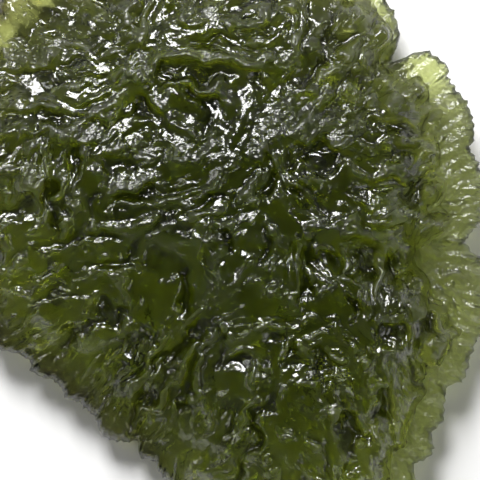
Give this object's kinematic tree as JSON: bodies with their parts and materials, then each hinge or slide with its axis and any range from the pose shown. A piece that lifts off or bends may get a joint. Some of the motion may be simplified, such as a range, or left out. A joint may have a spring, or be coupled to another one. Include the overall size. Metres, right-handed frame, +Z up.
{
  "type": "moldavite",
  "caption": "Flat, lens-shaped moldavite: see-through olive-green natural glass with a deeply pitted and furrowed face, a thin serrated rim and a small flat resting spot underneath.",
  "frame": {"origin": "middle of the bounding box in plan, at the height of the flat resting spot", "axes": "+Z up, from the resting spot to the sculpted face; +Y along the longest extent, which is upward in the picture; +X to the right in the picture"},
  "size_m": [0.0428, 0.048, 0.0104],
  "materials": {
    "moldavite_glass": "natural olive-green see-through glass with a shiny etched surface"
  },
  "bodies": {
    "root": {"moldavite": "moldavite_glass"}
  },
  "joints": []
}
